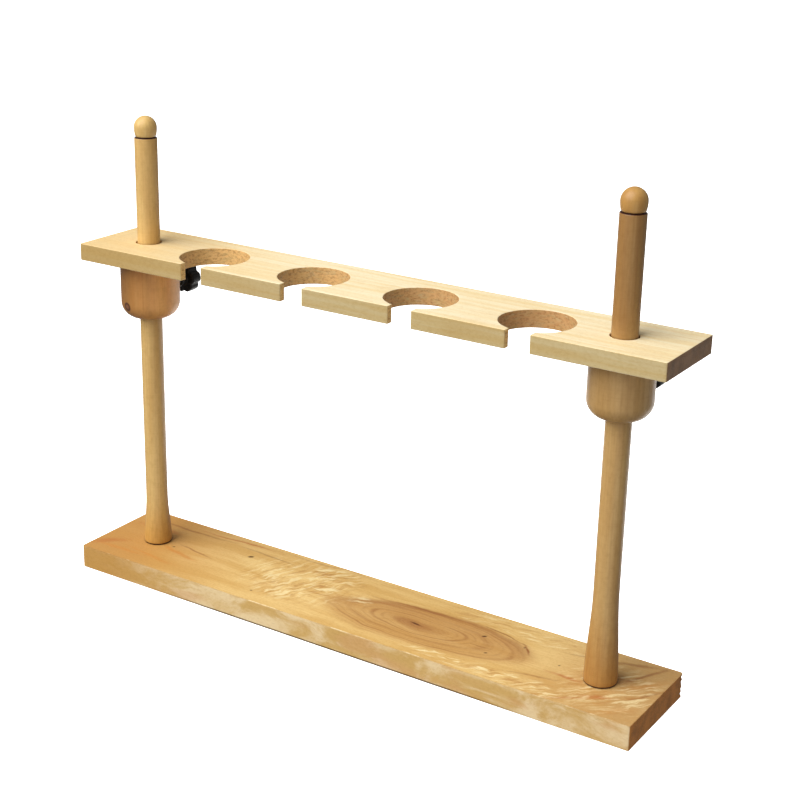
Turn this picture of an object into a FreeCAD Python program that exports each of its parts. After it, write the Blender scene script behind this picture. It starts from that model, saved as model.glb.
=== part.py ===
import FreeCAD, Part
import math
import os
from FreeCAD import Vector

# Wooden laboratory funnel stand, in millimetres.
# A base board carries two turned posts. A slotted shelf with a collar under each end slides on the
# posts, and a clamp screw through the back of each collar holds it at the chosen height.
# The origin is on the base board's underside, midway along it and 52.5 mm behind its front face.
# +X runs along the boards, -Y is the side that the shelf's slots open to, and +Z is up.

BASE_LENGTH = 600.0
BASE_FRONT_Y = -52.5
BASE_WIDTH = 108.0
BASE_THICKNESS = 23.5

POST_SPACING = 493.5
POST_Y = 1.0
POST_RADIUS = {"left": 10.7, "right": 11.0}
POST_SHOULDER_Z = 432.0    # top of the plain shaft, under the ball
POST_TOP_Z = 452.0         # top of the ball, which is turned in one piece with the post
POST_CHAMFER = 0.8
NECK_RADIUS = 8.6
NECK_HEIGHT = 0.8          # a narrow groove between the shaft and the ball
BALL_FOOT = 0.9            # radius of the ball at the groove, as a share of the post's radius
TENON_RADIUS = 8.0
TENON_LENGTH = 14.0
FOOT_CHAMFER = 0.6
FEET = {"left": (13.8, 50.0), "right": (14.7, 84.0)}   # radius and height of each flared foot

SHELF_LENGTH = 597.0
SHELF_FRONT_Y = -42.5
SHELF_WIDTH = 88.5
SHELF_THICKNESS = 16.0
SHELF_UNDERSIDE_Z = 316.5
SHELF_SHIFT_X = 4.2        # the shelf reaches slightly further past the right post than past the left
SHELF_POST_HOLE_RADIUS = 12.0

SEAT_COUNT = 4
SEAT_PITCH = 111.4
SEAT_RADIUS = 32.2
SEAT_SHIFT_X = 0.7         # the row of seats is this far to the right of the shelf's middle
SEAT_SETBACK = 37.5        # from the shelf's front edge to the centres of the funnel seats
SLOT_WIDTH = 22.2
SLOT_SHIFT_X = 2.0         # each slot is sawn slightly to the right of its seat's centre

COLLAR_RADIUS = {"left": 28.0, "right": 27.5}
COLLAR_HEIGHT = {"left": 56.5, "right": 52.5}
COLLAR_ROUND = 15.5        # quarter round along the collar's lower edge
COLLAR_BORE_CLEARANCE = 0.3

DOWEL_RADIUS = 3.0
DOWEL_LENGTH = 24.0
DOWEL_IN_SHELF = 10.0
DOWEL_OFFSET = 19.5        # from the post's axis, along X

CLAMP_DROP = 30.0          # from the shelf's underside down to the clamp screw's axis
STUD_RADIUS = 3.0
STUD_LENGTH = {"left": 43.0, "right": 47.7}
STUD_CHAMFER = 0.6
TIP_GAP = 0.1              # between the stud's tip and the post when the clamp is tight
THREAD_CLEARANCE = 0.05
INSERT_RADIUS = 4.6
INSERT_LENGTH = 12.0
INSERT_FLANGE_RADIUS = 6.5
INSERT_FLANGE_THICKNESS = 1.2

KNOB_RADIUS = 14.3
KNOB_LOBES = 6
KNOB_NOTCH_RADIUS = 5.0
KNOB_NOTCH_CENTRE = 17.4
KNOB_NOTCH_PHASE = 23.5    # degrees from +X, seen from the front
KNOB_HEAD_START = {"left": 46.0, "right": 51.0}    # from the post's axis, along Y
KNOB_HEAD_LENGTH = 13.0
KNOB_EDGE = 2.0
KNOB_HUB_RADIUS = 6.8
KNOB_HUB_LENGTH = 6.5
KNOB_BORE_DEPTH = 8.3

SCREW_RADIUS = 2.2
SCREW_LENGTH = 36.0
SCREW_POINT = 6.0
SCREW_HEAD_RADIUS = 4.2
SCREW_HEAD_HEIGHT = 2.6
WASHER_RADIUS = 6.5
WASHER_THICKNESS = 1.0
WASHER_HOLE_RADIUS = 2.4
RECESS_RADIUS = 7.0
RECESS_DEPTH = 4.0         # the washer bears on the top of this recess

SIDES = {"left": -1, "right": 1}
POST_AXES = {side: Vector(sign * POST_SPACING / 2, POST_Y, 0) for side, sign in SIDES.items()}
CLAMP_Z = SHELF_UNDERSIDE_Z - CLAMP_DROP
STUD_START = {side: radius + TIP_GAP for side, radius in POST_RADIUS.items()}
UP = Vector(0, 0, 1)
BACK = Vector(0, 1, 0)


def save(name, shape):
    """Write one node to its own STEP file."""
    shape = shape.removeSplitter()
    assert shape.isValid(), name
    shape.exportStep(os.path.join("parts", name + ".step"))
    print(name, len(shape.Solids), "solid", round(shape.Volume / 1000, 2), "cm3")


def box(low, high):
    """A box between two opposite corners."""
    size = high - low
    return Part.makeBox(size.x, size.y, size.z, low)


def rod(radius, start, length, direction=UP):
    """A cylinder from a start point along a direction."""
    return Part.makeCylinder(radius, length, start, direction)


def turned(edges):
    """Revolve a closed outline of edges in the XZ plane about the Z axis."""
    return Part.Face(Part.Wire(edges)).revolve(Vector(0, 0, 0), UP, 360)


def line(a, b):
    return Part.LineSegment(Vector(a[0], 0, a[1]), Vector(b[0], 0, b[1])).toShape()


def arc(a, middle, b):
    return Part.Arc(*[Vector(r, 0, z) for r, z in (a, middle, b)]).toShape()


def lines(points):
    """Straight edges through a list of (radius, height) points."""
    return [line(a, b) for a, b in zip(points, points[1:])]


def clamp_point(side, distance):
    """A point on one clamp's axis, at a distance behind the post's axis."""
    return POST_AXES[side] + Vector(0, distance, CLAMP_Z)


def edges_at(shape, axis, value):
    """The edges of a shape that lie wholly in one plane across an axis."""
    low = axis + "Min"
    high = axis + "Max"
    return [e for e in shape.Edges
            if abs(getattr(e.BoundBox, low) - value) < 1e-3 and abs(getattr(e.BoundBox, high) - value) < 1e-3]


def washer(side):
    """Plain washer in the recess under the base board."""
    low = POST_AXES[side] + Vector(0, 0, RECESS_DEPTH - WASHER_THICKNESS)
    return rod(WASHER_RADIUS, low, WASHER_THICKNESS).cut(rod(WASHER_HOLE_RADIUS, low, WASHER_THICKNESS))


def screw(side):
    """Pan head wood screw up through the base board into the post's tenon."""
    head_top = RECESS_DEPTH - WASHER_THICKNESS
    head_low = head_top - SCREW_HEAD_HEIGHT
    tip = head_top + SCREW_LENGTH
    edge = SCREW_HEAD_RADIUS - 1.0
    outline = lines([(0, tip), (0, head_low), (edge, head_low)])
    outline.append(arc((edge, head_low), (SCREW_HEAD_RADIUS - 0.3, head_low + 0.7),
                       (SCREW_HEAD_RADIUS, head_low + 1.6)))
    outline += lines([(SCREW_HEAD_RADIUS, head_low + 1.6), (SCREW_HEAD_RADIUS, head_top),
                      (SCREW_RADIUS, head_top), (SCREW_RADIUS, tip - SCREW_POINT), (0, tip)])
    body = turned(outline)
    slot = box(Vector(-SCREW_HEAD_RADIUS, -0.6, head_low - 1), Vector(SCREW_HEAD_RADIUS, 0.6, head_low + 1.2))
    return body.cut(slot).translated(POST_AXES[side])


def post(side):
    """Turned post: tenon, flared foot, plain shaft, neck and ball."""
    foot_radius, foot_height = FEET[side]
    radius = POST_RADIUS[side]
    foot_low = BASE_THICKNESS
    flare_low = foot_low + FOOT_CHAMFER
    flare_top = foot_low + foot_height
    middle_z = (flare_low + flare_top) / 2
    middle_r = (foot_radius + radius) / 2
    # Both halves of the flare are arcs of one radius that meet at its middle and leave upright.
    half_height = flare_top - middle_z
    half_step = foot_radius - middle_r
    bend = (half_height ** 2 + half_step ** 2) / (2 * half_step)
    quarter = math.atan2(half_height, bend - half_step) / 2
    quarter_r = bend * (1 - math.cos(quarter))
    quarter_z = bend * math.sin(quarter)
    tenon_low = foot_low - TENON_LENGTH
    outline = lines([(0, tenon_low), (TENON_RADIUS, tenon_low), (TENON_RADIUS, foot_low),
                     (foot_radius - FOOT_CHAMFER, foot_low), (foot_radius, flare_low)])
    outline.append(arc((foot_radius, flare_low), (foot_radius - quarter_r, flare_low + quarter_z),
                       (middle_r, middle_z)))
    outline.append(arc((middle_r, middle_z), (radius + quarter_r, flare_top - quarter_z), (radius, flare_top)))
    groove_top = POST_SHOULDER_Z + NECK_HEIGHT
    outline += lines([(radius, flare_top), (radius, POST_SHOULDER_Z - POST_CHAMFER),
                      (radius - POST_CHAMFER, POST_SHOULDER_Z), (NECK_RADIUS, POST_SHOULDER_Z),
                      (NECK_RADIUS, groove_top), (radius * BALL_FOOT, groove_top)])
    # The ball swells gently from its foot up to its middle and is half a sphere above that.
    ball_z = POST_TOP_Z - radius
    rise = ball_z - groove_top
    step = radius * (1 - BALL_FOOT)
    swell = (rise ** 2 + step ** 2) / (2 * step)
    half = math.atan2(rise, swell - step) / 2
    outline.append(arc((radius * BALL_FOOT, groove_top),
                       (radius - swell * (1 - math.cos(half)), ball_z - swell * math.sin(half)), (radius, ball_z)))
    crown = radius * math.sqrt(0.5)
    outline.append(arc((radius, ball_z), (crown, ball_z + crown), (0, POST_TOP_Z)))
    outline.append(line((0, POST_TOP_Z), (0, tenon_low)))
    return turned(outline).translated(POST_AXES[side]).cut(screw(side))


def base_board():
    """Base board with a blind socket on top and a screw recess below for each post."""
    board = box(Vector(-BASE_LENGTH / 2, BASE_FRONT_Y, 0),
                Vector(BASE_LENGTH / 2, BASE_FRONT_Y + BASE_WIDTH, BASE_THICKNESS))
    for axis in POST_AXES.values():
        board = board.cut(rod(TENON_RADIUS, axis + Vector(0, 0, BASE_THICKNESS - TENON_LENGTH), TENON_LENGTH))
        board = board.cut(rod(RECESS_RADIUS, axis, RECESS_DEPTH))
        board = board.cut(rod(WASHER_HOLE_RADIUS, axis, BASE_THICKNESS))
    return board


def dowel(side, place):
    """Hidden dowel across the glued joint between collar and shelf."""
    offset = Vector(place * DOWEL_OFFSET, 0, SHELF_UNDERSIDE_Z + DOWEL_IN_SHELF - DOWEL_LENGTH)
    return rod(DOWEL_RADIUS, POST_AXES[side] + offset, DOWEL_LENGTH)


def shelf_plate():
    """Shelf board with post holes and open-fronted funnel seats."""
    front = SHELF_FRONT_Y
    low_z = SHELF_UNDERSIDE_Z
    board = box(Vector(SHELF_SHIFT_X - SHELF_LENGTH / 2, front, low_z),
                Vector(SHELF_SHIFT_X + SHELF_LENGTH / 2, front + SHELF_WIDTH, low_z + SHELF_THICKNESS))
    seat_y = front + SEAT_SETBACK
    for index in range(SEAT_COUNT):
        x = SHELF_SHIFT_X + SEAT_SHIFT_X + (index - (SEAT_COUNT - 1) / 2) * SEAT_PITCH
        board = board.cut(rod(SEAT_RADIUS, Vector(x, seat_y, low_z), SHELF_THICKNESS))
        slot_x = x + SLOT_SHIFT_X
        board = board.cut(box(Vector(slot_x - SLOT_WIDTH / 2, front, low_z),
                              Vector(slot_x + SLOT_WIDTH / 2, seat_y, low_z + SHELF_THICKNESS)))
    for side, axis in POST_AXES.items():
        board = board.cut(rod(SHELF_POST_HOLE_RADIUS, axis + Vector(0, 0, low_z), SHELF_THICKNESS))
        for place in SIDES.values():
            board = board.cut(dowel(side, place))
    return board


def threaded_insert(side):
    """Flanged brass insert pressed into the back of the collar."""
    flange = clamp_point(side, COLLAR_RADIUS[side] - INSERT_FLANGE_THICKNESS)
    start = clamp_point(side, COLLAR_RADIUS[side] - INSERT_LENGTH)
    body = rod(INSERT_RADIUS, start, INSERT_LENGTH, BACK)
    body = body.fuse(rod(INSERT_FLANGE_RADIUS, flange, INSERT_FLANGE_THICKNESS, BACK))
    return body.cut(rod(STUD_RADIUS + THREAD_CLEARANCE, start, INSERT_LENGTH, BACK))


def collar(side):
    """Turned collar with a quarter-round lower edge, bored for the post and drilled for its clamp."""
    low = SHELF_UNDERSIDE_Z - COLLAR_HEIGHT[side]
    outer = COLLAR_RADIUS[side]
    bore = POST_RADIUS[side] + COLLAR_BORE_CLEARANCE
    flat = outer - COLLAR_ROUND
    chord = COLLAR_ROUND * math.sqrt(0.5)
    outline = lines([(outer, low + COLLAR_ROUND), (outer, SHELF_UNDERSIDE_Z), (bore, SHELF_UNDERSIDE_Z),
                     (bore, low), (flat, low)])
    outline.append(arc((flat, low), (flat + chord, low + COLLAR_ROUND - chord), (outer, low + COLLAR_ROUND)))
    body = turned(outline).translated(POST_AXES[side])
    body = body.cut(rod(STUD_RADIUS + 0.5, clamp_point(side, 0), outer, BACK))
    body = body.cut(rod(INSERT_RADIUS, clamp_point(side, outer - INSERT_LENGTH), outer, BACK))
    # The flat spot-facing lets the insert's flange sit flush on the round collar.
    face = clamp_point(side, outer - INSERT_FLANGE_THICKNESS)
    body = body.cut(rod(INSERT_FLANGE_RADIUS, face, outer, BACK))
    for place in SIDES.values():
        body = body.cut(dowel(side, place))
    return body


def clamp_stud(side):
    """Steel stud whose tip presses on the post."""
    stud = rod(STUD_RADIUS, clamp_point(side, STUD_START[side]), STUD_LENGTH[side], BACK)
    y = POST_Y + STUD_START[side]
    ends = edges_at(stud, "Y", y) + edges_at(stud, "Y", y + STUD_LENGTH[side])
    return stud.makeChamfer(STUD_CHAMFER, ends)


def clamp_knob(side):
    """Lobed knob with a hub on the side of the collar and a blind bore for the stud."""
    start = KNOB_HEAD_START[side]
    head = rod(KNOB_RADIUS, clamp_point(side, start), KNOB_HEAD_LENGTH, BACK)
    for index in range(KNOB_LOBES):
        angle = math.radians(KNOB_NOTCH_PHASE + index * 360 / KNOB_LOBES)
        offset = Vector(math.cos(angle), 0, math.sin(angle)) * KNOB_NOTCH_CENTRE
        notch = rod(KNOB_NOTCH_RADIUS, clamp_point(side, start) + offset, KNOB_HEAD_LENGTH, BACK)
        head = head.cut(notch)
    low = POST_Y + start
    head = head.makeFillet(KNOB_EDGE, edges_at(head, "Y", low) + edges_at(head, "Y", low + KNOB_HEAD_LENGTH))
    hub_low = clamp_point(side, start - KNOB_HUB_LENGTH)
    hub = rod(KNOB_HUB_RADIUS, hub_low, KNOB_HUB_LENGTH + KNOB_EDGE, BACK)
    bore = rod(STUD_RADIUS + THREAD_CLEARANCE, hub_low, KNOB_HUB_LENGTH + KNOB_BORE_DEPTH, BACK)
    return head.fuse(hub).cut(bore)


def main():
    os.makedirs("parts", exist_ok=True)
    save("base_board", base_board())
    save("shelf_plate", shelf_plate())
    for side, sign in SIDES.items():
        save(side + "_post", post(side))
        save(side + "_post_screw", screw(side))
        save(side + "_post_washer", washer(side))
        save(side + "_collar", collar(side))
        save(side + "_collar_dowel_outer", dowel(side, sign))
        save(side + "_collar_dowel_inner", dowel(side, -sign))
        save(side + "_threaded_insert", threaded_insert(side))
        save(side + "_clamp_stud", clamp_stud(side))
        save(side + "_clamp_knob", clamp_knob(side))


main()
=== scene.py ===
import math

import bmesh
import bpy
from mathutils import Matrix, Vector, noise
from mathutils.geometry import delaunay_2d_cdt


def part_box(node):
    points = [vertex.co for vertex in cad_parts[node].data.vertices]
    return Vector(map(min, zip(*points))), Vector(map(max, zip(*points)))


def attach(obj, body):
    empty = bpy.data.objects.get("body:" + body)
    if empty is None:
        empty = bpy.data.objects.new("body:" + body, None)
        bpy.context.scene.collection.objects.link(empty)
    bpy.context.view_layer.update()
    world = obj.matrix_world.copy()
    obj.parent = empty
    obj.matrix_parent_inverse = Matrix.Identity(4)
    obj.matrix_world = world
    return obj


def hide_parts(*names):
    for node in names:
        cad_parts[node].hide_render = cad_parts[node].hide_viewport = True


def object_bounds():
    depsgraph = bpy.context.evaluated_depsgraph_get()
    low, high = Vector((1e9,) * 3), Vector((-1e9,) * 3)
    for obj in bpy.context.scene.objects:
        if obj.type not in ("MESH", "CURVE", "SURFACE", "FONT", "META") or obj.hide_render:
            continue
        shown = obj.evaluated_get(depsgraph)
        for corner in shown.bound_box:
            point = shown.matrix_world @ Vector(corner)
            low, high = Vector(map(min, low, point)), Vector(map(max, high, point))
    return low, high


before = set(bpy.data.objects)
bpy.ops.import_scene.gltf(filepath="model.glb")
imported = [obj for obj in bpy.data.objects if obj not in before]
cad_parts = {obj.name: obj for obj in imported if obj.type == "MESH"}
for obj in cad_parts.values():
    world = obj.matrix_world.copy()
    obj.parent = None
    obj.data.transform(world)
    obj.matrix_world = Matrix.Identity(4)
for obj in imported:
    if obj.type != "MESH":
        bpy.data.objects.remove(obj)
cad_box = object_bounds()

# Wooden funnel stand. Metres, in the part's own frame: origin on the base board's underside near its
# middle, +X along the boards, -Y towards the open side of the funnel seats, +Z up.
MM = 0.001
SIDES = {"left": -1, "right": 1}
BASE_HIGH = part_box("base_board")[1]

POST_RADIUS = {"left": 10.7 * MM, "right": 11.0 * MM}
POST_SHOULDER = 20.0 * MM       # from the top of the ball down to the end of the plain shaft
NECK_RADIUS = 8.6 * MM          # the narrow groove between the shaft and the ball
NECK_HEIGHT = 0.8 * MM
BALL_FOOT = 0.9                 # the ball's radius at the groove, as a share of the post's
FOOT_HEIGHT = {"left": 50.0 * MM, "right": 84.0 * MM}
TENON_RADIUS = 8.0 * MM

SEAT_COUNT = 4
SEAT_PITCH = 111.4 * MM
SEAT_RADIUS = 32.2 * MM
SEAT_SHIFT = 0.7 * MM           # the row of seats is this far to the right of the shelf's middle
SEAT_SETBACK = 37.5 * MM
SLOT_WIDTH = 22.2 * MM
SLOT_SHIFT = 2.0 * MM           # each slot is sawn a little to the right of its seat's centre
POST_HOLE_RADIUS = 12.0 * MM
SHELF_CORNER = 1.2 * MM         # the shelf's rounded corners, seen from above
SHELF_EDGE = 0.6 * MM           # its rounded arrises

BASE_CORNER = 1.4 * MM
BASE_BROKEN_CORNER = 2.6 * MM   # the rear right one
BASE_EDGE = 0.7 * MM
SPLINTER_REACH = 9.0 * MM       # how far from that corner the splinters go
SPLINTER_DEPTH = 2.2 * MM

COLLAR_ROUND = 15.5 * MM
BORE_CLEARANCE = 0.3 * MM

KNOB_LOBES = 6
KNOB_NOTCH_PHASE = 23.5         # degrees from +X to the middle of the first notch
KNOB_NOTCH_HALF = 17            # degrees from a notch's middle to its edge
KNOB_NOTCH_DEPTH = 2.1 * MM

THREAD_PITCH = 1.0 * MM
THREAD_DEPTH = 0.5 * MM

INSERT_BARREL_RADIUS = 4.6 * MM
INSERT_BORE_RADIUS = 3.05 * MM
INSERT_FLANGE_THICKNESS = 1.2 * MM

RECESS_RADIUS = 7.0 * MM        # under the base, for the post screws' heads and washers
RECESS_DEPTH = 4.0 * MM
SCREW_HOLE_RADIUS = 2.4 * MM
TENON_LENGTH = 14.0 * MM

STAGE_GLOW = 1.4                # emission strength that makes the stage read as plain white


# ---------------------------------------------------------------- geometry helpers

def mesh_of(name, bm):
    """The bmesh as a mesh. The bmesh is freed."""
    mesh = bpy.data.meshes.new(name)
    bm.to_mesh(mesh)
    bm.free()
    return mesh


def added(name, data):
    """A new object in the scene."""
    thing = bpy.data.objects.new(name, data)
    bpy.context.scene.collection.objects.link(thing)
    return thing


def new_piece(name, bm, body, stands_for, material):
    """Finish a bmesh as a piece of the object that rides on a body, in place of a CAD node."""
    bmesh.ops.remove_doubles(bm, verts=bm.verts, dist=1e-7)
    bmesh.ops.recalc_face_normals(bm, faces=bm.faces)
    mesh = mesh_of(name, bm)
    mesh.shade_smooth()
    mesh.set_sharp_from_angle(angle=math.radians(38))
    mesh.materials.append(material)
    piece = added(name, mesh)
    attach(piece, body)
    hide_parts(stands_for)
    return piece


def fillet(corners, steps=5):
    """Closed outline from (x, y, radius) corners, with an arc in each corner that has a radius."""
    outline = []
    for index, (x, y, radius) in enumerate(corners):
        here = Vector((x, y))
        if radius == 0:
            outline.append(here)
            continue
        back = (Vector(corners[index - 1][:2]) - here).normalized()
        ahead = (Vector(corners[(index + 1) % len(corners)][:2]) - here).normalized()
        half = math.acos(max(-1, min(1, back.dot(ahead)))) / 2
        reach = radius / math.tan(half)
        centre = here + (back + ahead).normalized() * radius / math.sin(half)
        first = here + back * reach - centre
        turn = (here + ahead * reach - centre).angle_signed(first)
        for step in range(steps + 1):
            angle = turn * step / steps
            outline.append(centre + Matrix.Rotation(angle, 2) @ first)
    return outline


def divided(outline, step):
    """The same closed outline with extra points on its long straight runs."""
    points = []
    for here, ahead in zip(outline, outline[1:] + outline[:1]):
        count = max(1, round((ahead - here).length / step))
        points += [here.lerp(ahead, k / count) for k in range(count)]
    return points


def inward(outline):
    """For each point, the vector that moves both of its edges into the material by one unit.
    An outer outline runs anticlockwise and a hole clockwise, so the material is on the left."""
    moves = []
    for index, here in enumerate(outline):
        a = (here - outline[index - 1]).normalized()
        b = (outline[(index + 1) % len(outline)] - here).normalized()
        left_a = Vector((-a.y, a.x))
        left_b = Vector((-b.y, b.x))
        moves.append((left_a + left_b) / (1 + left_a.dot(left_b)))
    return moves


def board_profile(low, high, edge, levels):
    """(inset, z) steps up a board's wall: rounded arrises, with short flats that keep the faces true."""
    flat = 0.35 * MM
    arc = [math.radians(a) for a in range(0, 91, 18)]
    lower = [(edge * (1 - math.sin(a)), low + edge * (1 - math.cos(a))) for a in arc]
    upper = [(inset, low + high - z) for inset, z in reversed(lower)]
    wall_low = low + edge + flat
    wall_high = high - edge - flat
    wall = [(0, wall_low + (wall_high - wall_low) * k / levels) for k in range(levels + 1)]
    return [(edge + flat, low)] + lower + wall + upper + [(edge + flat, high)]


def encloses(ring, spot):
    """Whether a closed ring of points goes round a spot."""
    crossings = 0
    for index, here in enumerate(ring):
        ahead = ring[(index + 1) % len(ring)]
        if (here.y > spot.y) != (ahead.y > spot.y):
            share = (spot.y - here.y) / (ahead.y - here.y)
            crossings += spot.x < here.x + share * (ahead.x - here.x)
    return crossings % 2 == 1


def cap(bm, rings):
    """Fill the flat face between an outer ring of vertices and the rings round its holes."""
    verts = [vert for ring in rings for vert in ring]
    edges = []
    for ring in rings:
        start = len(edges)
        edges += [(start + k, start + (k + 1) % len(ring)) for k in range(len(ring))]
    holes = [[vert.co.xy for vert in ring] for ring in rings[1:]]
    triangles, origins = delaunay_2d_cdt([vert.co.xy for vert in verts], edges, [], 1, 1e-7)[2:4]
    for triangle in triangles:
        corners = [verts[origins[index][0]] for index in triangle]
        centre = sum((corner.co.xy for corner in corners), Vector((0, 0))) / 3
        if not any(encloses(hole, centre) for hole in holes):
            bm.faces.new(corners)


def board(outlines, low, high, edge, wear, levels=4):
    """A board between two heights. wear(x, y, z) is how much further in the surface is worn there."""
    bm = bmesh.new()
    profile = board_profile(low, high, edge, levels)
    lowest = []
    highest = []
    for outline in outlines:
        moves = inward(outline)
        rings = []
        for inset, z in profile:
            ring = []
            for point, move in zip(outline, moves):
                spot = point + move * (inset + wear(point.x, point.y, z))
                ring.append(bm.verts.new((spot.x, spot.y, z)))
            rings.append(ring)
        for lower, upper in zip(rings, rings[1:]):
            for k in range(len(outline)):
                bm.faces.new((lower[k - 1], lower[k], upper[k], upper[k - 1]))
        lowest.append(rings[0])
        highest.append(rings[-1])
    cap(bm, lowest)
    cap(bm, highest)
    return bm


def arc_steps(centre_r, centre_z, radius, start, end, count):
    """(radius, height) points on an arc, angles in degrees from the outward direction."""
    points = []
    for k in range(count + 1):
        angle = math.radians(start + (end - start) * k / count)
        points.append((centre_r + radius * math.cos(angle), centre_z + radius * math.sin(angle)))
    return points


def side_of(ring, k):
    """A ring's points at k - 1 and k, or its one point where the ring has closed on the axis."""
    return [ring[k - 1], ring[k]] if len(ring) > 1 else ring


def spun(profile, segments, shape=None):
    """Turn a (radius, height) profile about Z. shape(angle, radius, height) gives a changed radius."""
    bm = bmesh.new()
    rings = []
    for radius, height in profile:
        if radius < 1e-9:
            rings.append([bm.verts.new((0, 0, height))])
            continue
        ring = []
        for k in range(segments):
            angle = 2 * math.pi * k / segments
            r = shape(angle, radius, height) if shape else radius
            ring.append(bm.verts.new((r * math.cos(angle), r * math.sin(angle), height)))
        rings.append(ring)
    for lower, upper in zip(rings, rings[1:]):
        for k in range(segments):
            corners = side_of(lower, k) + side_of(upper, k)[::-1]
            if len(corners) > 2:
                bm.faces.new(corners)
    return bm


def placed(bm, spot, along_y=False):
    """Move a turned shape to its place, first laying its axis along +Y if asked."""
    if along_y:
        turn = Matrix.Rotation(math.radians(-90), 3, "X")
        bmesh.ops.rotate(bm, verts=bm.verts, cent=(0, 0, 0), matrix=turn)
    bmesh.ops.translate(bm, verts=bm.verts, vec=spot)
    return bm


def middle(node):
    """The middle of a CAD node's box."""
    low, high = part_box(node)
    return (low + high) / 2


def cut(piece, cutter_bm):
    """Take a closed shape out of a piece."""
    cutter = added("cutter", mesh_of("cutter", cutter_bm))
    modifier = piece.modifiers.new("cut", "BOOLEAN")
    modifier.solver = "EXACT"
    modifier.object = cutter
    depsgraph = bpy.context.evaluated_depsgraph_get()
    result = bpy.data.meshes.new_from_object(piece.evaluated_get(depsgraph))
    piece.modifiers.remove(modifier)
    piece.data = result
    bpy.data.objects.remove(cutter)


# ---------------------------------------------------------------- material helpers

def srgb(red, green, blue):
    """A colour given as 0 to 255 display values, as linear RGBA."""
    linear = [((c / 255 + 0.055) / 1.055) ** 2.4 if c > 10 else c / 255 / 12.92 for c in (red, green, blue)]
    return (*linear, 1.0)


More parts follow.
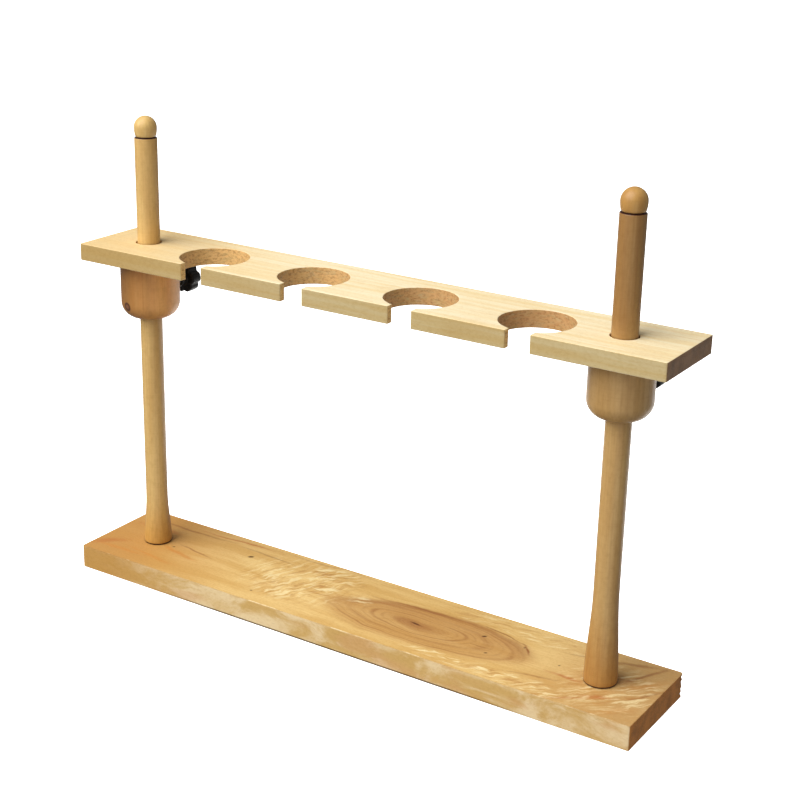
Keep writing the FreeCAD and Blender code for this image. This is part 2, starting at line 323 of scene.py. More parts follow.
class Nodes:
    """Short calls that add nodes to one material."""

    def __init__(self, name):
        self.material = bpy.data.materials.new(name)
        self.material.use_nodes = True
        self.tree = self.material.node_tree
        self.shader = self.tree.nodes["Principled BSDF"]
        coordinates = self.tree.nodes.new("ShaderNodeTexCoord")
        self.normal = coordinates.outputs["Normal"]
        scaled = self.add("ShaderNodeVectorMath", coordinates.outputs["Object"], operation="SCALE")
        scaled.inputs["Scale"].default_value = 1000
        self.mm = scaled.outputs["Vector"]      # the surface point in millimetres

    def add(self, kind, *inputs, **settings):
        """A new node with its settings, and with its first sockets filled in order."""
        node = self.tree.nodes.new(kind)
        for key, value in settings.items():
            setattr(node, key, value)
        for socket, value in zip(node.inputs, inputs):
            self.put(socket, value)
        return node

    def put(self, socket, value):
        """Link another node's output to a socket, or set the socket to a constant."""
        if isinstance(value, bpy.types.NodeSocket):
            self.tree.links.new(value, socket)
        elif value is not None:
            socket.default_value = value

    def math(self, operation, a, b=0.0):
        return self.add("ShaderNodeMath", a, b, operation=operation).outputs[0]

    def times(self, a, b):
        return self.math("MULTIPLY", a, b)

    def plus(self, a, b):
        return self.math("ADD", a, b)

    def fade(self, value, start, end, strength=1.0):
        """0 at start to strength at end, smoothly."""
        node = self.add("ShaderNodeMapRange", value, float(start), float(end), 0.0, strength,
                        interpolation_type="SMOOTHSTEP")
        return node.outputs[0]

    def tint(self, share, colour, factors):
        """The colour multiplied, channel by channel, where share is 1."""
        return self.mix(share, colour, (*factors, 1.0), "MULTIPLY")

    def mix(self, share, a, b, blend="MIX"):
        """The share of the way from colour a to colour b."""
        node = self.tree.nodes.new("ShaderNodeMix")
        node.data_type = "RGBA"
        node.blend_type = blend
        node.clamp_factor = True
        self.put(node.inputs[0], share)
        self.put(node.inputs[6], a)
        self.put(node.inputs[7], b)
        return node.outputs[2]

    def stretch(self, vector, x, y, z, shift=(0, 0, 0)):
        """The vector with each axis multiplied."""
        scaled = self.add("ShaderNodeVectorMath", vector, (x, y, z), operation="MULTIPLY").outputs[0]
        return self.add("ShaderNodeVectorMath", scaled, shift, operation="ADD").outputs[0]

    def noise_node(self, vector, scale=1.0, detail=3.0, roughness=0.55, distortion=0.0):
        """The noise node itself, for its colour output."""
        node = self.tree.nodes.new("ShaderNodeTexNoise")
        self.put(node.inputs["Vector"], vector)
        node.inputs["Scale"].default_value = scale
        node.inputs["Detail"].default_value = detail
        node.inputs["Roughness"].default_value = roughness
        node.inputs["Distortion"].default_value = distortion
        return node

    def noise(self, vector, **settings):
        """Noise from 0 to 1, about 0.5 on average."""
        return self.noise_node(vector, **settings).outputs[0]

    def warp(self, vector, scale, amount, shift=(0, 0, 0)):
        """The vector moved about by up to half the amount, in millimetres."""
        moved = self.stretch(vector, scale, scale, scale, shift)
        wobble = self.noise_node(moved, detail=2.0).outputs["Color"]
        centred = self.add("ShaderNodeVectorMath", wobble, (-0.5, -0.5, -0.5), operation="ADD").outputs[0]
        scaled = self.stretch(centred, amount, amount, amount)
        return self.add("ShaderNodeVectorMath", vector, scaled, operation="ADD").outputs[0]

    def ellipse(self, vector, centre, radii, angle=0.0):
        """Distance from the centre, 1 on an ellipsoid turned about Z by an angle in degrees."""
        node = self.tree.nodes.new("ShaderNodeMapping")
        node.vector_type = "TEXTURE"
        self.put(node.inputs["Vector"], vector)
        node.inputs["Location"].default_value = centre
        node.inputs["Rotation"].default_value = (0, 0, math.radians(angle))
        node.inputs["Scale"].default_value = radii
        return self.add("ShaderNodeVectorMath", node.outputs[0], operation="LENGTH").outputs["Value"]

    def ripples(self, vector, angle, along, across, detail=3.0):
        """Noise drawn out in one direction of the board's face, at an angle in degrees from +X."""
        node = self.tree.nodes.new("ShaderNodeMapping")
        self.put(node.inputs["Vector"], vector)
        node.inputs["Rotation"].default_value = (0, 0, math.radians(-angle))
        stretched = self.stretch(node.outputs[0], 1 / along, 1 / across, 0.05)
        return self.noise(stretched, detail=detail, roughness=0.5, distortion=0.5)

    def axis(self, vector, name):
        return self.add("ShaderNodeSeparateXYZ", vector).outputs[name]

    def finish(self, colour, roughness, bump, depth, distance=0.0002):
        """Colour, roughness and a bump height into the shader."""
        self.put(self.shader.inputs["Base Color"], colour)
        self.put(self.shader.inputs["Roughness"], roughness)
        node = self.tree.nodes.new("ShaderNodeBump")
        node.inputs["Strength"].default_value = depth
        node.inputs["Distance"].default_value = distance
        self.put(node.inputs["Height"], bump)
        self.put(self.shader.inputs["Normal"], node.outputs[0])
        return self.material


def fibres(n, point, along, seed):
    """Fine wood fibres: long threads and short pores, both 0 to 1, running along one axis."""
    thin = {"X": (0.012, 0.55, 0.55), "Z": (0.55, 0.55, 0.012)}[along]
    short = {"X": (0.09, 2.2, 2.2), "Z": (2.2, 2.2, 0.09)}[along]
    thread = n.noise(n.stretch(point, *thin, shift=(seed, 3, 7)), detail=5.0, roughness=0.62)
    pore = n.noise(n.stretch(point, *short, shift=(5, seed, 1)), detail=2.0, roughness=0.5)
    return thread, pore


def tooth(n, colour):
    """The fine unevenness that raw wood keeps under its varnish."""
    fine = n.noise(n.stretch(n.mm, 0.35, 0.6, 0.6), detail=4.0, roughness=0.7)
    return n.tint(n.fade(fine, 0.42, 0.66), colour, (0.93, 0.9, 0.85))


def wood_finish(n, colour, thread, pore, swing, roughness, depth):
    """Wood that is rougher along its threads, with a bump from its threads and pores."""
    rough = n.plus(n.fade(thread, 0.2, 0.8, swing), roughness)
    return n.finish(colour, rough, n.plus(n.times(thread, 0.6), n.times(pore, 0.4)), depth)


def varnish(n, coat, gloss):
    """A thin clear varnish over the wood."""
    n.shader.inputs["Coat Weight"].default_value = coat
    n.shader.inputs["Coat Roughness"].default_value = 0.32
    n.shader.inputs["Specular IOR Level"].default_value = gloss


def end_grain(n, colour, dark, point):
    """Darker, pored end grain on the two ends of a board."""
    facing = n.fade(n.math("ABSOLUTE", n.axis(n.normal, "X")), 0.6, 0.9)
    at_end = n.fade(n.math("ABSOLUTE", n.axis(n.mm, "X")), 285, 290)
    speckle = n.noise(point, scale=1.1, detail=4.0, roughness=0.7)
    broad = n.noise(point, scale=0.09, detail=3.0)
    tone = n.mix(n.fade(n.plus(n.times(speckle, 0.5), n.times(broad, 0.5)), 0.35, 0.62),
                 [c * 0.62 for c in dark[:3]] + [1.0], dark)
    return n.mix(n.times(facing, at_end), colour, tone)


# ---------------------------------------------------------------- materials

def base_figure(n, colour, cloud):
    """Closed growth rings with brown heartwood inside them, round a dark eye."""
    loose = n.warp(n.mm, 0.018, 12.0, shift=(3, 6, 1))
    oval = n.ellipse(loose, (74.0, -5.0, 23.0), (107.0, 34.0, 70.0), 3.0)
    eye = n.ellipse(loose, (63.0, -4.0, 23.0), (34.0, 10.0, 30.0), -2.0)
    pulled = n.plus(n.times(eye, 0.24), 0.04)
    layer = n.add("ShaderNodeMath", oval, pulled, 0.25, operation="SMOOTH_MIN").outputs[0]
    inside = n.fade(oval, 1.12, 0.82)
    rear = n.fade(n.axis(n.mm, "Y"), -26, 22)
    deep = n.plus(0.5, n.times(rear, 0.22))
    colour = n.mix(n.times(inside, deep), colour, srgb(190, 136, 76))
    patchy = n.fade(n.ripples(n.mm, 0, 60, 16), 0.32, 0.62)
    for count, low, strength, drift in ((84.0, 0.3, 0.26, 6.0), (34.0, 0.5, 0.4, 4.0)):
        wave = n.math("SINE", n.plus(n.times(layer, count), n.times(cloud, drift)))
        line = n.times(n.times(n.fade(wave, low, 1.0), inside), n.plus(0.35, n.times(patchy, 0.65)))
        colour = n.mix(n.times(line, strength), colour, srgb(158, 100, 56))
    rim = n.fade(n.math("ABSOLUTE", n.plus(oval, -0.9)), 0.13, 0.0)
    colour = n.mix(n.times(n.times(rim, rear), 0.42), colour, srgb(150, 92, 52))
    return n.mix(n.fade(eye, 1.1, 0.1, 0.55), colour, srgb(150, 88, 48))


def base_wood():
    """Honey board with a heartwood oval, brown flames at both ends and curly pale figure."""
    n = Nodes("base_wood")
    flow = n.warp(n.mm, 0.012, 16.0)
    fine = n.warp(flow, 0.06, 3.0, shift=(9, 2, 4))
    thread, pore = fibres(n, fine, "X", 2.0)
    x_along = n.axis(n.mm, "X")
    cloud = n.noise(n.stretch(flow, 0.007, 0.045, 0.045), detail=3.0)
    colour = n.mix(n.fade(cloud, 0.32, 0.68), srgb(242, 208, 140), srgb(222, 180, 108))
    colour = n.mix(n.fade(x_along, -110, -270, 0.85), colour, srgb(196, 142, 76))
    colour = n.mix(n.fade(x_along, 150, 290, 0.75), colour, srgb(192, 150, 98))
    colour = n.mix(n.fade(thread, 0.42, 0.72, 0.34), colour, srgb(206, 156, 88))
    colour = base_figure(n, colour, cloud)

    # Flames and streaks: (x, y), half length, half width, direction, darkness, colour.
    red = srgb(190, 116, 62)
    brown = srgb(156, 100, 56)
    orange = srgb(206, 142, 72)
    dark = srgb(92, 52, 30)
    streaks = [
        ((-262, -36), 40, 3.6, 4, 0.7, orange), ((-226, -30), 40, 3.4, -6, 0.65, orange),
        ((-210, -10), 34, 3.0, -16, 0.8, orange), ((-198, 0), 26, 1.7, -16, 0.7, brown),
        ((-286, -30), 26, 7.0, 40, 0.6, red), ((-262, 24), 34, 5.5, 3, 0.6, red),
        ((-236, 40), 66, 2.6, 0, 0.6, brown), ((-175, 46), 60, 2.0, -1, 0.8, red),
        ((-130, 34), 44, 1.8, -3, 0.5, brown), ((-70, 50), 60, 1.6, 0, 0.4, brown),
        ((52, 26), 58, 2.6, 3, 0.65, brown), ((140, 26), 36, 1.3, -12, 0.8, brown),
        ((170, 14), 13, 1.7, -48, 0.9, brown), ((63, -4), 10, 1.7, -4, 0.95, dark),
        ((136, -6), 13, 1.4, 0, 0.5, brown), ((219, -11), 22, 3.0, -2, 0.75, red),
        ((258, -26), 20, 4.4, 22, 0.75, red), ((252, 8), 34, 9.0, 26, 0.45, brown),
        ((284, 16), 26, 8.0, 52, 0.5, orange), ((280, -38), 22, 6.0, 40, 0.4, orange),
        ((276, 30), 34, 2.6, 60, 0.7, brown), ((262, 44), 30, 3.0, 16, 0.6, brown),
        ((290, -2), 26, 2.2, 58, 0.6, brown), ((228, 34), 30, 2.4, 10, 0.55, brown),
        ((240, -40), 30, 2.2, 30, 0.6, red), ((196, -26), 30, 2.0, 14, 0.5, brown),
    ]
    ragged = n.noise(fine, scale=0.16, detail=4.0, roughness=0.6)
    for (x, y), length, width, angle, strength, tint in streaks:
        reach = n.ellipse(fine, (x, y, 23.5), (length, width, 26.0), angle)
        reach = n.plus(reach, n.times(ragged, 0.9))
        colour = n.mix(n.fade(reach, 1.6, 0.6, strength), colour, tint)

    # Pale curly figure across the grain: (x, y), half sizes, direction, strength.
    curls = [
        ((-78, 6), (64, 46), 68, 0.6), ((-50, 36), (34, 15), 40, 0.9), ((-46, 4), (24, 10), 20, 0.9),
        ((-84, -18), (34, 18), 60, 0.75), ((-6, 6), (16, 9), 30, 0.7), ((122, -42), (50, 8), 12, 0.9),
        ((190, -42), (60, 13), 30, 0.7), ((262, -6), (50, 44), 46, 0.6), ((150, 40), (90, 12), 10, 0.5),
    ]
    curly_space = n.warp(n.mm, 0.05, 14.0, shift=(1, 8, 2))
    for (x, y), (length, width), angle, strength in curls:
        place = n.fade(n.ellipse(curly_space, (x, y, 23.5), (length, width, 20.0), 0), 1.2, 0.5)
        bands = n.ripples(curly_space, angle, 22.0, 3.6)
        pale = n.times(place, n.fade(bands, 0.5, 0.66, strength))
        colour = n.mix(pale, colour, srgb(255, 236, 182))
        deep = n.times(place, n.fade(bands, 0.47, 0.32, strength * 0.8))
        colour = n.mix(deep, colour, srgb(186, 128, 66))

    # Nail marks and pin knots.
    spots = [(-223, -3, 1.2), (-146, 23, 2.4), (-101, -35, 1.1), (126, 13, 1.9), (142, -13, 1.3),
             (166, 15, 1.0), (206, 4, 0.9)]
    for x, y, radius in spots:
        spot = n.ellipse(n.mm, (x, y, 23.5), (radius * 1.3, radius * 0.75, 3.0), 35)
        colour = n.mix(n.fade(spot, 1.3, 0.5, 0.9), colour, srgb(74, 42, 24))

    # The front and back faces are paler, with soft blotches.
    face = n.fade(n.math("ABSOLUTE", n.axis(n.normal, "Y")), 0.6, 0.9)
    blotch = n.noise(n.stretch(flow, 0.018, 0.018, 0.045), detail=5.0, roughness=0.6, distortion=0.6)
    plain = n.mix(n.fade(blotch, 0.4, 0.6), srgb(240, 216, 172), srgb(210, 172, 106))
    pinkish = n.noise(n.stretch(flow, 0.016, 0.05, 0.05), detail=3.0)
    plain = n.mix(n.fade(pinkish, 0.5, 0.7, 0.5), plain, srgb(214, 164, 116))
    plain = n.mix(n.fade(x_along, -150, -275, 0.85), plain, srgb(200, 152, 82))
    colour = n.mix(n.times(face, 0.85), colour, plain)
    colour = end_grain(n, colour, srgb(226, 150, 76), fine)

    # The front face's upper arris is dark with pale worn spots; a painted contact shadow darkens the middle
    # of its lower edge.
    height = n.axis(n.mm, "Z")
    front = n.fade(n.axis(n.mm, "Y"), -51.4, -51.9)
    arris = n.times(n.fade(height, 22.4, 23.0), front)
    colour = n.tint(arris, colour, (0.8, 0.77, 0.72))
    colour = n.mix(n.times(arris, n.fade(blotch, 0.5, 0.6, 0.6)), colour, srgb(255, 236, 190))
    # Painted contact shadow: the middle of the front face's lower edge is darkened where the board meets
    # the floor.
    contact_shadow = n.times(n.fade(height, 2.3, 1.5), n.fade(n.math("ABSOLUTE", x_along), 230, 120))
    colour = n.mix(n.times(n.times(contact_shadow, front), 0.8), colour, srgb(64, 38, 22))
    colour = n.mix(n.fade(pore, 0.62, 0.72, 0.2), colour, srgb(150, 100, 55))
    colour = tooth(n, colour)
    varnish(n, 0.04, 0.14)
    return wood_finish(n, colour, thread, pore, 0.2, 0.38, 0.22)


def shelf_wood():
    """Very pale board with a quiet straight grain. All its walls behind the front face are browner,
    as if sawn and left rough, with painted light on them: lighter towards the left and on the slots' sides."""
    n = Nodes("shelf_wood")
    flow = n.warp(n.mm, 0.008, 9.0, shift=(4, 4, 1))
    thread, pore = fibres(n, flow, "X", 11.0)
    lines = n.noise(n.stretch(flow, 0.004, 0.16, 0.16, shift=(2, 0, 0)), detail=3.0)
    colour = n.mix(n.fade(lines, 0.36, 0.66), srgb(254, 240, 204), srgb(247, 224, 174))
    colour = n.mix(n.fade(thread, 0.5, 0.76, 0.25), colour, srgb(222, 190, 136))
    colour = n.mix(n.fade(n.axis(n.mm, "X"), -60, -290, 0.75), colour, srgb(234, 200, 138))
    cloud = n.noise(n.stretch(flow, 0.012, 0.03, 0.03), detail=2.0)
    colour = n.mix(n.fade(cloud, 0.5, 0.75, 0.3), colour, srgb(236, 204, 148))
    wall = n.fade(n.math("ABSOLUTE", n.axis(n.normal, "Z")), 0.7, 0.3)
    colour = n.tint(wall, colour, (0.6, 0.55, 0.43))
    cut = n.times(wall, n.fade(n.axis(n.mm, "Y"), -42.2, -41.4))
    curly = n.noise(n.stretch(n.mm, 0.09, 0.09, 0.3), detail=5.0, roughness=0.7, distortion=0.6)
    # The sawn walls' colour carries painted light and shade: lighter at the left, darker towards the right.
    sawn_and_shaded = n.mix(n.fade(n.axis(n.mm, "X"), -190, 150), srgb(246, 200, 132), srgb(212, 162, 108))
    colour = n.mix(n.times(cut, n.fade(curly, 0.2, 0.6, 0.85)), colour, sawn_and_shaded)
    # Painted light: the slots' side walls are made paler, standing in for light bounced onto them.
    slot_side_painted_light = n.times(n.fade(n.math("ABSOLUTE", n.axis(n.normal, "X")), 0.6, 0.9),
                        n.fade(n.axis(n.mm, "Y"), -31, -34))
    colour = n.mix(n.times(cut, slot_side_painted_light), colour, srgb(255, 214, 138))
    speckle = n.noise(n.stretch(n.mm, 0.3, 0.3, 0.6), detail=5.0, roughness=0.7)
    colour = n.mix(n.times(cut, n.fade(speckle, 0.46, 0.66, 0.55)), colour, srgb(150, 92, 54))
    colour = end_grain(n, colour, srgb(166, 128, 94), flow)
    colour = n.mix(n.fade(pore, 0.64, 0.74, 0.2), colour, srgb(196, 158, 104))
    colour = tooth(n, colour)
    varnish(n, 0.03, 0.12)
    return wood_finish(n, colour, thread, pore, 0.2, 0.42, 0.18)


def turned_wood(name, centre, light, mid, dark, seed, knots=(), zones=(), shade_rings=()):
    """Turned wood with upright grain. knots are (x, y, z, radius) from the piece's middle.
    zones are (axis, where a tint starts, where it is full, channel factors).
    The rings in the last list are (height, half width) of dark lines of painted shade round the piece."""
    n = Nodes(name)
    own = n.add("ShaderNodeVectorMath", n.mm, [c * 1000 for c in centre], operation="SUBTRACT").outputs[0]
    flow = n.warp(n.stretch(own, 1.0, 1.0, 0.25, shift=(seed, 0, 0)), 0.05, 5.0)
    flat = n.stretch(flow, 1.0, 1.0, 0.05)
    pith = n.add("ShaderNodeVectorMath", flat, (seed * 3.0 - 18.0, 21.0, 0.0), operation="ADD").outputs[0]
    distance = n.add("ShaderNodeVectorMath", pith, operation="LENGTH").outputs["Value"]
    growth = n.math("SINE", n.times(distance, 1.4))
    thread, pore = fibres(n, own, "Z", seed)
    broad = n.noise(n.stretch(own, 0.06, 0.06, 0.006, shift=(seed, 1, 2)), detail=3.0)
    colour = n.mix(n.fade(broad, 0.3, 0.7), light, mid)
    colour = n.mix(n.fade(growth, 0.0, 1.0, 0.09), colour, dark)
    colour = n.mix(n.fade(thread, 0.4, 0.75, 0.26), colour, dark)
    mottle = n.noise(n.stretch(own, 0.3, 0.3, 0.16, shift=(4, seed, 2)), detail=4.0, roughness=0.65)
    colour = n.tint(n.fade(mottle, 0.4, 0.7), colour, (0.92, 0.9, 0.86))
    marks = n.noise(n.stretch(own, 0.02, 0.02, 1.1, shift=(1, 2, seed)), detail=3.0, roughness=0.7)
    colour = n.tint(n.fade(marks, 0.45, 0.7), colour, (0.96, 0.95, 0.93))
    for axis, start, full, factors in zones:
        colour = n.tint(n.fade(n.axis(n.mm, axis), start, full), colour, factors)
    # Painted shade: dark rings round the piece where its creases and joints fall into shade.
    for height, half_width in shade_rings:
        off = n.math("ABSOLUTE", n.plus(n.axis(n.mm, "Z"), -height))
        colour = n.mix(n.fade(off, half_width, half_width * 0.7), colour, srgb(70, 34, 16))
    for x, y, z, radius in knots:
        reach = n.ellipse(own, (x, y, z), (radius, radius, radius))
        colour = n.mix(n.fade(reach, 1.15, 0.85, 0.9), colour, srgb(70, 36, 24))
        colour = n.mix(n.fade(reach, 0.75, 0.35, 0.8), colour, srgb(140, 92, 62))
    colour = n.mix(n.fade(pore, 0.64, 0.74, 0.3), colour, dark)
    varnish(n, 0.25, 0.35)
    return wood_finish(n, colour, thread, pore, 0.18, 0.36, 0.2)


def black_plastic():
    """Moulded black plastic with a fine grain and paler rubbed patches."""
    n = Nodes("black_plastic")
    grain = n.noise(n.mm, scale=5.0, detail=2.0)
    rubbed = n.noise(n.mm, scale=0.35, detail=3.0)
    colour = n.mix(n.fade(rubbed, 0.45, 0.75), srgb(24, 22, 21), srgb(44, 40, 40))
    n.shader.inputs["Specular IOR Level"].default_value = 0.2
    return n.finish(colour, n.plus(n.fade(rubbed, 0.3, 0.7, 0.18), 0.34), grain, 0.25, 0.0001)


def metal(name, light, dark, roughness):
    """Plain machined metal with faint tool marks and duller patches."""
    n = Nodes(name)
    marks = n.noise(n.stretch(n.mm, 6.0, 0.8, 6.0), detail=3.0)
    patches = n.noise(n.mm, scale=0.4, detail=3.0)
    n.shader.inputs["Metallic"].default_value = 1.0
    colour = n.mix(n.fade(patches, 0.35, 0.7), light, dark)
    return n.finish(colour, n.plus(n.fade(patches, 0.3, 0.7, 0.2), roughness), marks, 0.15, 0.00005)


# ---------------------------------------------------------------- pieces

def unevenness(angle, height, pitch):
    """How hand turning varies round and along a piece, about 0 to 1."""
    return noise.noise(Vector((math.cos(angle), math.sin(angle), height * pitch))) + 0.5


def edge_wear(x, y, z):
    """Small unevenness of a hand-planed arris."""
    return 0.12 * MM * max(0.0, noise.noise(Vector((x, y, z)) * 60) + 0.1)


def base_wear(x, y, z):
    """Edge wear, with splinters broken out of the rear right corner."""
    corner = Vector((x - BASE_HIGH.x, y - BASE_HIGH.y))
    near = max(0.0, 1 - corner.length / SPLINTER_REACH)
    ragged = max(0.0, noise.noise(Vector((x * 60, y * 60, z * 420))) + 0.3)
    between = min(1.0, max(0.0, min(z - 1.5 * MM, BASE_HIGH.z - 1.5 * MM - z) / (1.5 * MM)))
    return edge_wear(x, y, z) + SPLINTER_DEPTH * near * ragged * between


def rectangle(low, high, radius):
    """The four corners of a box's outline, anticlockwise from the front left, each with a radius."""
    spots = ((low.x, low.y), (high.x, low.y), (high.x, high.y), (low.x, high.y))
    return [(x, y, radius) for x, y in spots]


def make_base(material):
    """Base board, with the posts' sockets and the screws' holes and recesses."""
    low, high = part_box("base_board")
    corners = rectangle(low, high, BASE_CORNER)
    corners[2] = (high.x, high.y, BASE_BROKEN_CORNER)
    outline = divided(fillet(corners), 3 * MM)
    bm = board([outline], low.z, high.z, BASE_EDGE, base_wear, levels=9)
    piece = new_piece("base_board_piece", bm, "stand", "base_board", material)
    for side in SIDES:
        axis = middle(side + "_post")
        socket = high.z - TENON_LENGTH
        above = high.z + 1 * MM
        profile = [(0, -1 * MM), (RECESS_RADIUS, -1 * MM), (RECESS_RADIUS, RECESS_DEPTH),
                   (SCREW_HOLE_RADIUS, RECESS_DEPTH), (SCREW_HOLE_RADIUS, socket), (TENON_RADIUS, socket),
                   (TENON_RADIUS, above), (0, above)]
        cutter = spun(profile, 48)
        bmesh.ops.recalc_face_normals(cutter, faces=cutter.faces)
        cut(piece, placed(cutter, (axis.x, axis.y, 0)))
    return piece


def seat_corners(x, front):
    """Corners of one slot and its round seat, walked along the shelf's front edge."""
    slot_left = SLOT_SHIFT - SLOT_WIDTH / 2
    slot_right = SLOT_SHIFT + SLOT_WIDTH / 2
    seat_y = front + SEAT_SETBACK
    start = 270 + math.degrees(math.asin(slot_left / SEAT_RADIUS))
    end = 270 + math.degrees(math.asin(slot_right / SEAT_RADIUS)) - 360
    corners = [(x + slot_left, front, SHELF_CORNER)]
    count = 96
    for k in range(count + 1):
        angle = math.radians(start + (end - start) * k / count)
        radius = SHELF_CORNER if k in (0, count) else 0
        corners.append((x + SEAT_RADIUS * math.cos(angle), seat_y + SEAT_RADIUS * math.sin(angle), radius))
    corners.append((x + slot_right, front, SHELF_CORNER))
    return corners


def circle(x, y, radius, count=72):
    """A hole's outline, clockwise."""
    return [Vector((x + radius * math.cos(-2 * math.pi * k / count),
                    y + radius * math.sin(-2 * math.pi * k / count))) for k in range(count)]


def make_shelf(material):
    """Shelf, with its slotted seats and the two holes that the posts pass through."""
    low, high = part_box("shelf_plate")
    corners = [(low.x, low.y, SHELF_CORNER)]
    for index in range(SEAT_COUNT):
        x = (low.x + high.x) / 2 + SEAT_SHIFT + (index - (SEAT_COUNT - 1) / 2) * SEAT_PITCH
        corners += seat_corners(x, low.y)
    corners += rectangle(low, high, SHELF_CORNER)[1:]
    outlines = [divided(fillet(corners), 3 * MM)]
    for side in SIDES:
        axis = middle(side + "_collar")
        outlines.append(circle(axis.x, axis.y, POST_HOLE_RADIUS))
    bm = board(outlines, low.z, high.z, SHELF_EDGE, edge_wear)
    return new_piece("shelf_plate_piece", bm, "shelf", "shelf_plate", material)


def make_post(side, material):
    """Post: tenon, flared foot, plain shaft, narrow groove and ball, in one piece."""
    low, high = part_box(side + "_post")
    board_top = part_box("base_board")[1].z
    foot_radius = (high.x - low.x) / 2
    rise = FOOT_HEIGHT[side]
    shoulder = high.z - POST_SHOULDER
    shaft = POST_RADIUS[side]
    step = foot_radius - shaft
    profile = [(0, low.z), (TENON_RADIUS, low.z), (TENON_RADIUS, board_top)]
    profile += [(foot_radius - 1.1 * MM, board_top), (foot_radius - 0.35 * MM, board_top + 0.35 * MM)]
    for k in range(17):
        share = k / 16
        radius = shaft + step * (1 - share * share * (3 - 2 * share))
        profile.append((radius, board_top + 0.9 * MM + rise * share))
    chamfer = 0.8 * MM
    straight = shoulder - chamfer - board_top - rise
    profile += [(shaft, board_top + rise + straight * k / 12) for k in range(2, 13)]
    profile += arc_steps(shaft - chamfer, shoulder - chamfer, chamfer, 15, 90, 5)
    profile += [(NECK_RADIUS, shoulder + 0.1 * MM), (NECK_RADIUS, shoulder + NECK_HEIGHT - 0.1 * MM)]

    # The ball swells gently from its foot to its middle and is half a sphere above that.
    foot = shaft * BALL_FOOT
    ball_z = high.z - shaft
    swell_height = ball_z - shoulder - NECK_HEIGHT
    swell = (swell_height ** 2 + (shaft - foot) ** 2) / (2 * (shaft - foot))
    start = -math.degrees(math.asin(swell_height / swell))
    profile += [(foot - 0.4 * MM, shoulder + NECK_HEIGHT)]
    profile += arc_steps(shaft - swell, ball_z, swell, start, 0, 8)[1:]
    profile += arc_steps(0, ball_z, shaft, 0, 90, 18)[1:-1] + [(0, high.z)]

    def hand_turned(angle, radius, height):
        return radius - 0.03 * MM * unevenness(angle, height, 40)

    axis = middle(side + "_post")
    bm = placed(spun(profile, 96, hand_turned), (axis.x, axis.y, 0))
    return new_piece(side + "_post_piece", bm, "stand", side + "_post", material)


def make_collar(side, material):
    """Collar with a quarter-round lower edge, bored for the post. Its top is just under the shelf."""
    low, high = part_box(side + "_collar")
    axis = middle(side + "_collar")
    outer = (high.x - low.x) / 2
    flat = outer - COLLAR_ROUND
    bore = POST_RADIUS[side] + BORE_CLEARANCE
    top = high.z - 0.02 * MM
    profile = [(bore, top), (bore, low.z + 0.4 * MM), (bore + 0.4 * MM, low.z)]
    profile += arc_steps(flat, low.z + COLLAR_ROUND, COLLAR_ROUND, -90, 0, 18)
    wall = high.z - low.z - COLLAR_ROUND
    profile += [(outer, low.z + COLLAR_ROUND + wall * k / 5) for k in range(1, 5)]
    profile += [(outer, high.z - 0.5 * MM), (outer - 0.3 * MM, top), (bore, top)]

    def hand_turned(angle, radius, height):
        if radius < bore + 1 * MM:
            return radius
        return radius - 0.05 * MM * unevenness(angle, height, 50)

    bm = placed(spun(profile, 96, hand_turned), (axis.x, axis.y, 0))
    return new_piece(side + "_collar_piece", bm, "shelf", side + "_collar", material)


def make_knob(side, material):
    """Star knob: hub towards the collar, lobes, and a shallow ring groove round a cap outside."""
    low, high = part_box(side + "_clamp_knob")
    axis = middle(side + "_clamp_knob")
    radius = (high.x - low.x) / 2
    hub = 6.8 * MM
    head = 6.5 * MM                      # from the hub's end to the head
    length = high.y - low.y
    edge = 2.2 * MM
    profile = [(0, 0.4 * MM), (3.4 * MM, 0.4 * MM), (3.8 * MM, 0), (hub - 0.6 * MM, 0), (hub, 0.6 * MM),
               (hub + 0.2 * MM, head - 0.8 * MM), (hub + 1.0 * MM, head)]
    profile += [(radius * 0.78, head + 0.1 * MM)]
    profile += arc_steps(radius - edge, head + edge, edge, -80, 0, 6)
    profile += arc_steps(radius - edge, length - edge, edge, 0, 85, 7)
    profile += [(radius * 0.62, length - 0.05 * MM), (radius * 0.52, length - 0.3 * MM),
                (radius * 0.49, length - 1.0 * MM), (radius * 0.40, length - 1.1 * MM),
                (radius * 0.37, length - 0.5 * MM), (radius * 0.2, length - 0.2 * MM),
                (0, length - 0.15 * MM)]

    def lobed(angle, r, height):
        pitch = 360 / KNOB_LOBES
        away = (math.degrees(angle) - KNOB_NOTCH_PHASE + pitch / 2) % pitch - pitch / 2
        share = max(0.0, 1 - abs(away) / KNOB_NOTCH_HALF)
        notch = share * share * (3 - 2 * share)
        reach = max(0.0, min(1.0, (r / radius - 0.62) / 0.3))
        return r - KNOB_NOTCH_DEPTH * notch * reach

    bm = placed(spun(profile, 144, lobed), (axis.x, low.y, axis.z), along_y=True)
    name = side + "_clamp_knob"
    return new_piece(name + "_piece", bm, side + "_knob", name, material)


def make_stud(side, material):
    """Stud with its real helical thread."""
    low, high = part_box(side + "_clamp_stud")
    axis = middle(side + "_clamp_stud")
    crest = (high.x - low.x) / 2
    length = high.y - low.y
    count = round(length / THREAD_PITCH * 8)
    profile = [(0, 0), (crest - 1.0 * MM, 0)]
    profile += [(crest, length * k / count) for k in range(1, count)]
    profile += [(crest - 1.0 * MM, length), (0, length)]

    def threaded(angle, r, height):
        turn = (height / THREAD_PITCH + angle / (2 * math.pi)) % 1
        depth = THREAD_DEPTH * abs(2 * turn - 1)
        chamfer = max(0.0, 0.7 * MM - min(height, length - height))
        return r - depth - chamfer if r == crest else r

    bm = placed(spun(profile, 32, threaded), (axis.x, low.y, axis.z), along_y=True)
    name = side + "_clamp_stud"
    return new_piece(name + "_piece", bm, side + "_stud", name, material)


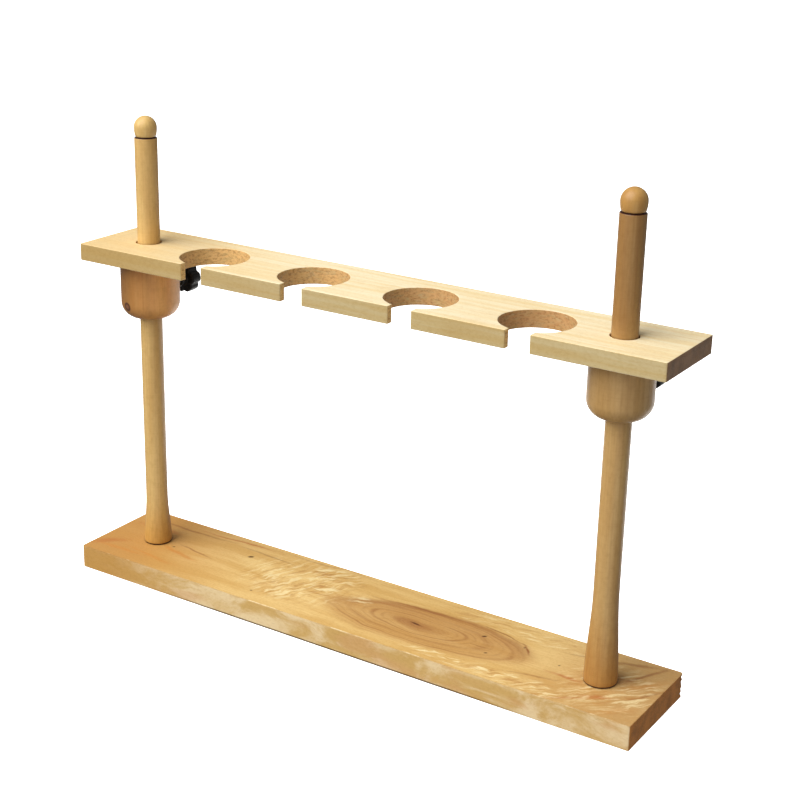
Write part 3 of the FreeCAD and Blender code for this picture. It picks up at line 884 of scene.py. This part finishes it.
def make_insert(side, material):
    """Flanged insert with a softened rim."""
    low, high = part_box(side + "_threaded_insert")
    axis = middle(side + "_threaded_insert")
    flange = (high.x - low.x) / 2
    barrel = INSERT_BARREL_RADIUS
    bore = INSERT_BORE_RADIUS
    length = high.y - low.y
    seat = length - INSERT_FLANGE_THICKNESS
    profile = [(bore, length - 0.4 * MM), (bore, 0), (barrel, 0), (barrel, seat), (flange, seat)]
    profile += arc_steps(flange - 0.5 * MM, length - 0.5 * MM, 0.5 * MM, 0, 90, 4)
    profile += [(bore + 0.4 * MM, length), (bore, length - 0.4 * MM)]
    bm = placed(spun(profile, 64), (axis.x, low.y, axis.z), along_y=True)
    name = side + "_threaded_insert"
    return new_piece(name + "_piece", bm, "shelf", name, material)


def paint(node, material):
    """Give a CAD node that stays as it is a better material."""
    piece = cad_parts[node]
    piece.data.materials.clear()
    piece.data.materials.append(material)


def build_object():
    """Every piece and material. Wood colours are (light, middle, dark)."""
    make_base(base_wood())
    make_shelf(shelf_wood())
    steel = metal("zinc_steel", srgb(200, 200, 204), srgb(150, 150, 152), 0.28)
    brass = metal("brass", srgb(226, 190, 112), srgb(180, 140, 74), 0.26)
    plastic = black_plastic()
    dowel = turned_wood("dowel_wood", (0, 0, 0), srgb(226, 196, 140), srgb(210, 172, 112),
                        srgb(176, 134, 80), 5.0)
    woods = {
        "left": (srgb(227, 191, 124), srgb(213, 171, 102), srgb(184, 136, 74)),
        "right": (srgb(208, 172, 112), srgb(194, 152, 92), srgb(164, 117, 64)),
    }
    collars = {
        "left": (srgb(255, 194, 118), srgb(250, 180, 102), srgb(214, 140, 74)),
        "right": (srgb(206, 170, 116), srgb(188, 148, 90), srgb(160, 116, 64)),
    }
    collar_knots = {"left": [(-5.7, -27.4, -14.5, 4.4)], "right": []}
    # Painted shade: dark rings in the groove under each ball and where each post meets the base.
    shade_rings = [(432.4, 0.9), (23.6, 1.9)]
    # The tints from 431 to 434 mm up lighten each ball as a painted highlight.
    zones = {
        "left": [("Z", 80, 30, (0.84, 0.72, 0.5)), ("Z", 431, 434, (1.1, 1.16, 1.2))],
        "right": [("Z", 110, 35, (0.82, 0.68, 0.5)), ("Z", 310, 350, (0.64, 0.56, 0.48)),
                  ("Z", 431, 434, (1.5, 1.55, 1.4))],
    }
    collar_zones = {
        "left": [("X", -219, -232, (0.64, 0.6, 0.55)), ("X", -232, -256, (0.62, 0.6, 0.55))],
        "right": [],
    }
    for side in SIDES:
        seed = 3.0 + 4.0 * SIDES[side]
        post_material = turned_wood(side + "_post_wood", middle(side + "_post"), *woods[side], seed,
                                    zones=zones[side], shade_rings=shade_rings)
        make_post(side, post_material)
        collar_material = turned_wood(side + "_collar_wood", middle(side + "_collar"), *collars[side],
                                      seed + 1.5, collar_knots[side], collar_zones[side])
        make_collar(side, collar_material)
        make_insert(side, brass)
        make_stud(side, steel)
        make_knob(side, plastic)
        paint(side + "_post_screw", steel)
        paint(side + "_post_washer", steel)
        paint(side + "_collar_dowel_outer", dowel)
        paint(side + "_collar_dowel_inner", dowel)


# ---------------------------------------------------------------- stage, light and camera

def stage_piece(name, bm, height=0.0):
    """A glowing white stage surface that casts no shadow and sheds no diffuse light."""
    n = Nodes(name)
    speck = n.noise(n.mm, scale=0.001)
    n.put(n.shader.inputs["Base Color"], n.mix(speck, (0.86, 0.86, 0.86, 1), (0.9, 0.9, 0.9, 1)))
    n.shader.inputs["Roughness"].default_value = 0.9
    n.shader.inputs["Emission Color"].default_value = (1, 1, 1, 1)
    n.shader.inputs["Emission Strength"].default_value = STAGE_GLOW
    piece = added(name, mesh_of(name, bm))
    piece.data.materials.append(n.material)
    piece.location.z = height
    piece.visible_diffuse = False
    piece.visible_glossy = False
    piece.visible_shadow = False
    return piece


def build_stage():
    """A white floor and backdrop for the camera, and a sheet of table that only reflections show."""
    bm = bmesh.new()
    bmesh.ops.create_circle(bm, cap_ends=True, segments=64, radius=9.0)
    stage_piece("floor", bm, -0.2 * MM)

    bm = bmesh.new()
    bmesh.ops.create_uvsphere(bm, u_segments=48, v_segments=24, radius=9.5)
    stage_piece("backdrop", bm)

    # The bright table behind the stand, seen only as a sheen along the right of the round parts.
    bm = bmesh.new()
    corners = ((-0.6, 0.25), (0.55, 0.25), (0.55, 1.0), (-0.6, 1.0))
    bm.faces.new([bm.verts.new((x, y, 0)) for x, y in corners])
    sheen = stage_piece("table_sheen", bm, -0.4 * MM)
    sheen.visible_camera = False
    sheen.visible_glossy = True


def away_from(azimuth, elevation):
    """The direction out from the stand at two angles in degrees. Azimuth 0 is straight in front."""
    a = math.radians(azimuth)
    e = math.radians(elevation)
    return Vector((math.sin(a) * math.cos(e), -math.cos(a) * math.cos(e), math.sin(e)))


def area_light(name, azimuth, elevation, distance, size, power, colour):
    """A square soft light aimed at the middle of the stand."""
    data = bpy.data.lights.new(name, "AREA")
    data.size = size
    data.energy = power
    data.color = colour
    light = added(name, data)
    out = away_from(azimuth, elevation)
    target = (Vector(cad_box[0]) + Vector(cad_box[1])) / 2
    light.location = target + out * distance
    light.rotation_euler = out.to_track_quat("Z", "Y").to_euler()


def build_lights():
    """A large soft key from the upper left, a weak fill and bounce, and an even white surround."""
    area_light("key", -28, 50, 4.0, 4.4, 258, (1.0, 0.985, 0.96))
    area_light("fill", -5, 5, 2.6, 1.6, 4, (1.0, 0.99, 0.97))
    area_light("bounce", 45, -25, 2.6, 1.8, 7, (1.0, 0.97, 0.92))
    world = bpy.data.worlds.new("soft")
    world.use_nodes = True
    background = world.node_tree.nodes["Background"]
    background.inputs["Color"].default_value = (1.0, 1.0, 1.0, 1)
    background.inputs["Strength"].default_value = 0.22
    bpy.context.scene.world = world
    bpy.context.scene.view_settings.view_transform = "Standard"


def build_camera():
    """Front right, a little above, with a long lens."""
    back = away_from(32.83, 19.67)
    roll = math.radians(1.12)
    distance = 1.44
    aim = Vector((12.9, 17.9, 227.3)) * MM
    data = bpy.data.cameras.new("camera")
    data.lens = 72.48
    data.sensor_width = 36
    data.shift_x = 0.0171
    data.shift_y = -0.0047
    camera = added("camera", data)
    facing = back.to_track_quat("Z", "Y").to_matrix().to_4x4()
    place = Matrix.Translation(aim + back * distance)
    camera.matrix_world = place @ facing @ Matrix.Rotation(roll, 4, "Z")
    bpy.context.scene.camera = camera


build_object()
build_stage()
build_lights()
build_camera()
